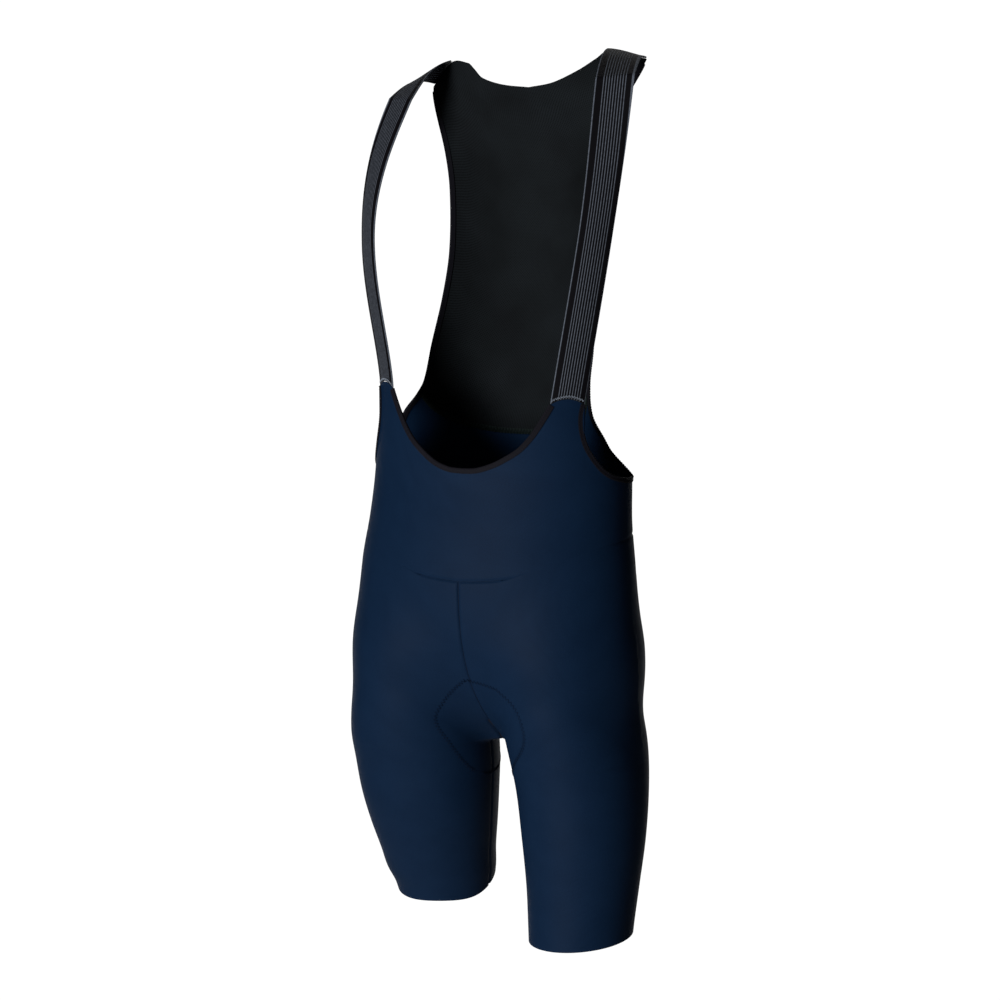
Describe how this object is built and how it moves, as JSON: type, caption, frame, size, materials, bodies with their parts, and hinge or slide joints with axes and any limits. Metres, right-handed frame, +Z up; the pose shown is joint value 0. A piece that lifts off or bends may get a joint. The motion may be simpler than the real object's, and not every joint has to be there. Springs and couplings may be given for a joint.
{
  "type": "cycling bib shorts",
  "caption": "Close-fitting cycling bib shorts in their hollow worn shape: two legs, high front and back yokes, a mesh back, shoulder straps, bound edges and a seat pad inside.",
  "frame": {"origin": "on the middle plane of the body between the two shoulder straps, level with the straps' tops, where the wearer's shoulders carry them", "axes": "+Z up, -Y towards the wearer's front, +X towards the wearer's left side"},
  "size_m": [0.3304, 0.2022, 0.911],
  "materials": {
    "lycra": "soft sheen warp knit, dark navy",
    "mesh": "matt open knit, black",
    "webbing": "ribbed elastic webbing, black with pale grey lines",
    "tape": "folded elastic binding, black",
    "foam": "brushed seat pad, dark blue grey"
  },
  "bodies": {
    "root": {"front_yoke": "lycra", "back_yoke": "lycra", "leg_left": "lycra", "leg_right": "lycra", "back_panel": "mesh", "strap_left": "webbing", "strap_right": "webbing", "neck_binding": "tape", "armhole_binding_left": "tape", "armhole_binding_right": "tape", "seat_pad": "foam"}
  },
  "joints": []
}
